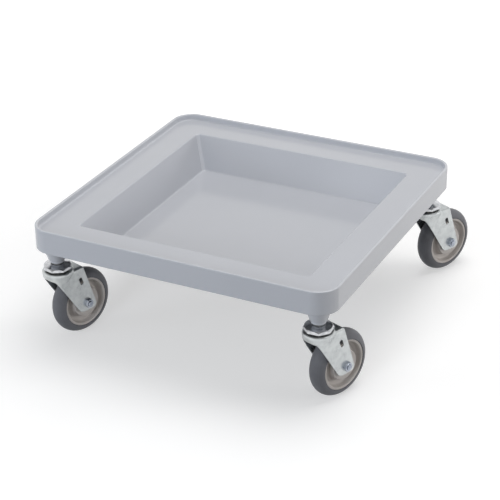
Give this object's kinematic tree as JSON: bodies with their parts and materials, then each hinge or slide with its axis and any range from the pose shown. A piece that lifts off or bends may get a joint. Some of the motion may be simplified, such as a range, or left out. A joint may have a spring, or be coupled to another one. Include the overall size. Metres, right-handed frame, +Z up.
{
  "type": "glass rack dolly",
  "caption": "Low square dolly for dish and glass racks: moulded plastic tray with a raised lip, seat ledge and deep sloped well, on swivel casters under its corners.",
  "frame": {"origin": "on the floor, below the middle of the tray", "axes": "+Z up, -Y towards the front, +X to the right"},
  "size_m": [0.5631, 0.6057, 0.218],
  "materials": {
    "tray_plastic": "satin moulded, soft grey",
    "fork_steel": "bright zinc plated sheet",
    "plated_steel": "bright zinc plated, turned",
    "spring_steel": "plated",
    "ball_steel": "polished, greased",
    "insert_brass": "knurled",
    "bush_nylon": "self-lubricating",
    "hub_plastic": "satin moulded, taupe",
    "tyre_rubber": "non-marking, dark grey"
  },
  "bodies": {
    "tray": {"tray": "tray_plastic", "front_left_stem_insert": "insert_brass", "front_left_lock_washer": "spring_steel", "front_left_stem": "plated_steel", "front_left_lower_race": "spring_steel", "front_right_stem_insert": "insert_brass", "front_right_lock_washer": "spring_steel", "front_right_stem": "plated_steel", "front_right_lower_race": "spring_steel", "back_right_stem_insert": "insert_brass", "back_right_lock_washer": "spring_steel", "back_right_stem": "plated_steel", "back_right_lower_race": "spring_steel", "back_left_stem_insert": "insert_brass", "back_left_lock_washer": "spring_steel", "back_left_stem": "plated_steel", "back_left_lower_race": "spring_steel"},
    "front_left_caster": {"front_left_fork": "fork_steel", "front_left_upper_balls": "ball_steel", "front_left_lower_balls": "ball_steel", "front_left_axle_bolt": "plated_steel", "front_left_axle_nut": "plated_steel", "front_left_axle_sleeve": "spring_steel"},
    "front_left_wheel": {"front_left_wheel_hub": "hub_plastic", "front_left_tyre": "tyre_rubber", "front_left_hub_bushes": "bush_nylon"},
    "front_right_caster": {"front_right_fork": "fork_steel", "front_right_upper_balls": "ball_steel", "front_right_lower_balls": "ball_steel", "front_right_axle_bolt": "plated_steel", "front_right_axle_nut": "plated_steel", "front_right_axle_sleeve": "spring_steel"},
    "front_right_wheel": {"front_right_wheel_hub": "hub_plastic", "front_right_tyre": "tyre_rubber", "front_right_hub_bushes": "bush_nylon"},
    "back_right_caster": {"back_right_fork": "fork_steel", "back_right_upper_balls": "ball_steel", "back_right_lower_balls": "ball_steel", "back_right_axle_bolt": "plated_steel", "back_right_axle_nut": "plated_steel", "back_right_axle_sleeve": "spring_steel"},
    "back_right_wheel": {"back_right_wheel_hub": "hub_plastic", "back_right_tyre": "tyre_rubber", "back_right_hub_bushes": "bush_nylon"},
    "back_left_caster": {"back_left_fork": "fork_steel", "back_left_upper_balls": "ball_steel", "back_left_lower_balls": "ball_steel", "back_left_axle_bolt": "plated_steel", "back_left_axle_nut": "plated_steel", "back_left_axle_sleeve": "spring_steel"},
    "back_left_wheel": {"back_left_wheel_hub": "hub_plastic", "back_left_tyre": "tyre_rubber", "back_left_hub_bushes": "bush_nylon"}
  },
  "joints": [
    {"name": "front_left_swivel", "type": "hinge", "parent": "tray", "child": "front_left_caster", "pos_m": [-0.2385, -0.2385, 0.131], "axis": [0, 0, 1], "continuous": true},
    {"name": "front_left_roll", "type": "hinge", "parent": "front_left_caster", "child": "front_left_wheel", "pos_m": [-0.2249, -0.19665, 0.0575], "axis": [0.9511, -0.309, 0], "continuous": true},
    {"name": "front_right_swivel", "type": "hinge", "parent": "tray", "child": "front_right_caster", "pos_m": [0.2385, -0.2385, 0.131], "axis": [0, 0, 1], "continuous": true},
    {"name": "front_right_roll", "type": "hinge", "parent": "front_right_caster", "child": "front_right_wheel", "pos_m": [0.25391, -0.19729, 0.0575], "axis": [0.9367, -0.3502, 0], "continuous": true},
    {"name": "back_right_swivel", "type": "hinge", "parent": "tray", "child": "back_right_caster", "pos_m": [0.2385, 0.2385, 0.131], "axis": [0, 0, 1], "continuous": true},
    {"name": "back_right_roll", "type": "hinge", "parent": "back_right_caster", "child": "back_right_wheel", "pos_m": [0.2571, 0.27838, 0.0575], "axis": [0.9063, -0.4226, 0], "continuous": true},
    {"name": "back_left_swivel", "type": "hinge", "parent": "tray", "child": "back_left_caster", "pos_m": [-0.2385, 0.2385, 0.131], "axis": [0, 0, 1], "continuous": true},
    {"name": "back_left_roll", "type": "hinge", "parent": "back_left_caster", "child": "back_left_wheel", "pos_m": [-0.22131, 0.279, 0.0575], "axis": [0.9205, -0.3907, 0], "continuous": true}
  ]
}
